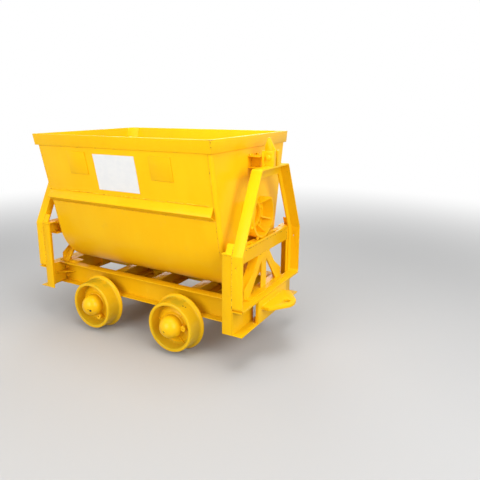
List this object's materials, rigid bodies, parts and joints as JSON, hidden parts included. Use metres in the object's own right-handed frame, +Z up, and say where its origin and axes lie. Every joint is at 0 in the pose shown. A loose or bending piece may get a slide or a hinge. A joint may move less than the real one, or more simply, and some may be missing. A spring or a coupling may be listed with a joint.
{
  "type": "side dump ore cart",
  "caption": "Narrow-gauge side dump ore cart: a trough bucket that rolls over sideways on toothed rocker castings in welded end frames.",
  "frame": {"origin": "on the floor under the middle of the cart, level with the lowest points of the wheel flanges", "axes": "X along the track, Y across it, Z up"},
  "size_m": [1.768, 0.91, 1.218],
  "materials": {
    "painted_steel": null,
    "painted_cast_steel": null
  },
  "bodies": {
    "frame": {"sill_far": "painted_steel", "sill_near": "painted_steel", "cross_members": "painted_steel", "sill_gussets": "painted_steel", "axle_seats_right": "painted_cast_steel", "end_ring_right": "painted_steel", "posts_right": "painted_steel", "rocker_beam_right": "painted_steel", "braces_right": "painted_steel", "end_channel_right": "painted_steel", "coupler_right": "painted_steel", "latch_lugs_right": "painted_steel", "latch_lever_right": "painted_steel", "axle_seats_left": "painted_cast_steel", "end_ring_left": "painted_steel", "posts_left": "painted_steel", "rocker_beam_left": "painted_steel", "braces_left": "painted_steel", "end_channel_left": "painted_steel", "coupler_left": "painted_steel", "latch_lugs_left": "painted_steel", "latch_lever_left": "painted_steel"},
    "roll_carrier": {"rocker_collar_right": "painted_cast_steel", "rocker_collar_left": "painted_cast_steel"},
    "bucket": {"trough": "painted_steel", "rim_band": "painted_steel", "side_stiffeners": "painted_steel", "side_pads": "painted_steel", "end_wall_right": "painted_steel", "rocker_right": "painted_cast_steel", "latch_keepers_right": "painted_steel", "end_wall_left": "painted_steel", "rocker_left": "painted_cast_steel", "latch_keepers_left": "painted_steel"},
    "wheelset_right": {"axle_right": "painted_steel", "wheels_right": "painted_cast_steel", "hub_caps_right": "painted_cast_steel"},
    "wheelset_left": {"axle_left": "painted_steel", "wheels_left": "painted_cast_steel", "hub_caps_left": "painted_cast_steel"}
  },
  "joints": [
    {"name": "bucket_tip", "type": "hinge", "parent": "roll_carrier", "child": "bucket", "pos_m": [0, 0, 0.7843], "axis": [1, 0, 0], "range_deg": [-40, 40]},
    {"name": "bucket_roll", "type": "slide", "parent": "frame", "child": "roll_carrier", "axis": [0, 1, 0], "range_m": [-0.091, 0.091]},
    {"name": "wheelset_right_spin", "type": "hinge", "parent": "frame", "child": "wheelset_right", "pos_m": [0.3, 0, 0.168], "axis": [0, 1, 0], "continuous": true},
    {"name": "wheelset_left_spin", "type": "hinge", "parent": "frame", "child": "wheelset_left", "pos_m": [-0.3, 0, 0.168], "axis": [0, 1, 0], "continuous": true}
  ],
  "couplings": [
    {"joint": "bucket_roll", "follows": "bucket_tip", "m_per_rad": -0.13}
  ]
}
